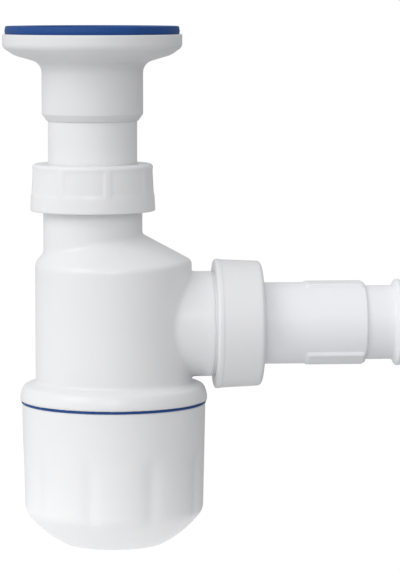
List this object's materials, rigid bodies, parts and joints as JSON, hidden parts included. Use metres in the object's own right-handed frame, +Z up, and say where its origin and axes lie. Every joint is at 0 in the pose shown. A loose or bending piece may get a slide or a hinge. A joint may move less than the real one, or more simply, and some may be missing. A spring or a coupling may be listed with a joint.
{
  "type": "bottle trap",
  "caption": "Bottle trap with a flared sink waste, sliding inlet tube, screw-off cup, side outlet with a union nut and a flexible waste hose with an end cuff.",
  "frame": {"origin": "centre of the flat foot of the cup, which the trap stands on", "axes": "+Z up along the bottle, +X along the outlet towards the hose"},
  "size_m": [0.5637, 0.0916, 0.253],
  "materials": {
    "moulded_pp": "smooth injection-moulded white polypropylene",
    "hose_pp": "thin-walled corrugated white polypropylene",
    "blue_rubber": "smooth moulded blue sealing rubber",
    "stainless": "pressed and polished stainless steel",
    "brass": "turned brass"
  },
  "bodies": {
    "bottle": {"bottle_body": "moulded_pp", "outlet_seal": "blue_rubber"},
    "inlet_seal": {"inlet_seal": "blue_rubber"},
    "waste": {"inlet_tube": "moulded_pp", "waste_body": "moulded_pp", "sink_gasket": "blue_rubber", "screw_insert": "brass"},
    "strainer": {"strainer_grate": "stainless", "grate_gasket": "blue_rubber"},
    "strainer_screw": {"grate_screw": "stainless"},
    "inlet_slip_ring": {"inlet_slip_ring": "moulded_pp"},
    "inlet_nut": {"inlet_nut": "moulded_pp"},
    "cup_ring": {"cup_gasket": "blue_rubber"},
    "cup": {"cup": "moulded_pp"},
    "outlet_slip_ring": {"outlet_slip_ring": "moulded_pp"},
    "outlet_nut": {"outlet_nut": "moulded_pp"},
    "hose": {"hose_cuff": "moulded_pp", "flex_hose": "hose_pp", "end_cuff": "moulded_pp"}
  },
  "joints": [
    {"name": "inlet_swivel", "type": "hinge", "parent": "bottle", "child": "inlet_seal", "pos_m": [-0.01, 0, 0.177], "axis": [0, 0, 1], "continuous": true},
    {"name": "inlet_height", "type": "slide", "parent": "inlet_seal", "child": "waste", "axis": [0, 0, 1], "range_m": [-0.007, 0.03]},
    {"name": "strainer_lift", "type": "slide", "parent": "waste", "child": "strainer", "axis": [0, 0, 1], "range_m": [0, 0.008]},
    {"name": "strainer_screw_turn", "type": "hinge", "parent": "strainer", "child": "strainer_screw", "pos_m": [-0.01, 0, 0.24], "axis": [0, 0, 1], "range_deg": [0, 2900]},
    {"name": "inlet_nut_travel", "type": "slide", "parent": "bottle", "child": "inlet_slip_ring", "axis": [0, 0, 1], "range_m": [0, 0.0121]},
    {"name": "inlet_nut_turn", "type": "hinge", "parent": "inlet_slip_ring", "child": "inlet_nut", "pos_m": [-0.01, 0, 0.174], "axis": [0, 0, 1], "range_deg": [0, 1080]},
    {"name": "cup_travel", "type": "slide", "parent": "bottle", "child": "cup_ring", "axis": [0, 0, -1], "range_m": [0, 0.0121]},
    {"name": "cup_turn", "type": "hinge", "parent": "cup_ring", "child": "cup", "pos_m": [0, 0, 0.06], "axis": [0, 0, -1], "range_deg": [0, 1080]},
    {"name": "outlet_nut_travel", "type": "slide", "parent": "bottle", "child": "outlet_slip_ring", "axis": [1, 0, 0], "range_m": [0, 0.0121]},
    {"name": "outlet_nut_turn", "type": "hinge", "parent": "outlet_slip_ring", "child": "outlet_nut", "pos_m": [0.06, 0, 0.1075], "axis": [1, 0, 0], "range_deg": [0, 1080]},
    {"name": "hose_pull", "type": "slide", "parent": "bottle", "child": "hose", "axis": [1, 0, 0], "range_m": [0, 0.03]}
  ],
  "couplings": [
    {"joint": "strainer_screw_turn", "follows": "strainer_lift", "rad_per_m": 6283.2},
    {"joint": "inlet_nut_travel", "follows": "inlet_nut_turn", "m_per_rad": 0.00063662},
    {"joint": "cup_travel", "follows": "cup_turn", "m_per_rad": 0.00063662},
    {"joint": "outlet_nut_travel", "follows": "outlet_nut_turn", "m_per_rad": 0.00063662}
  ]
}
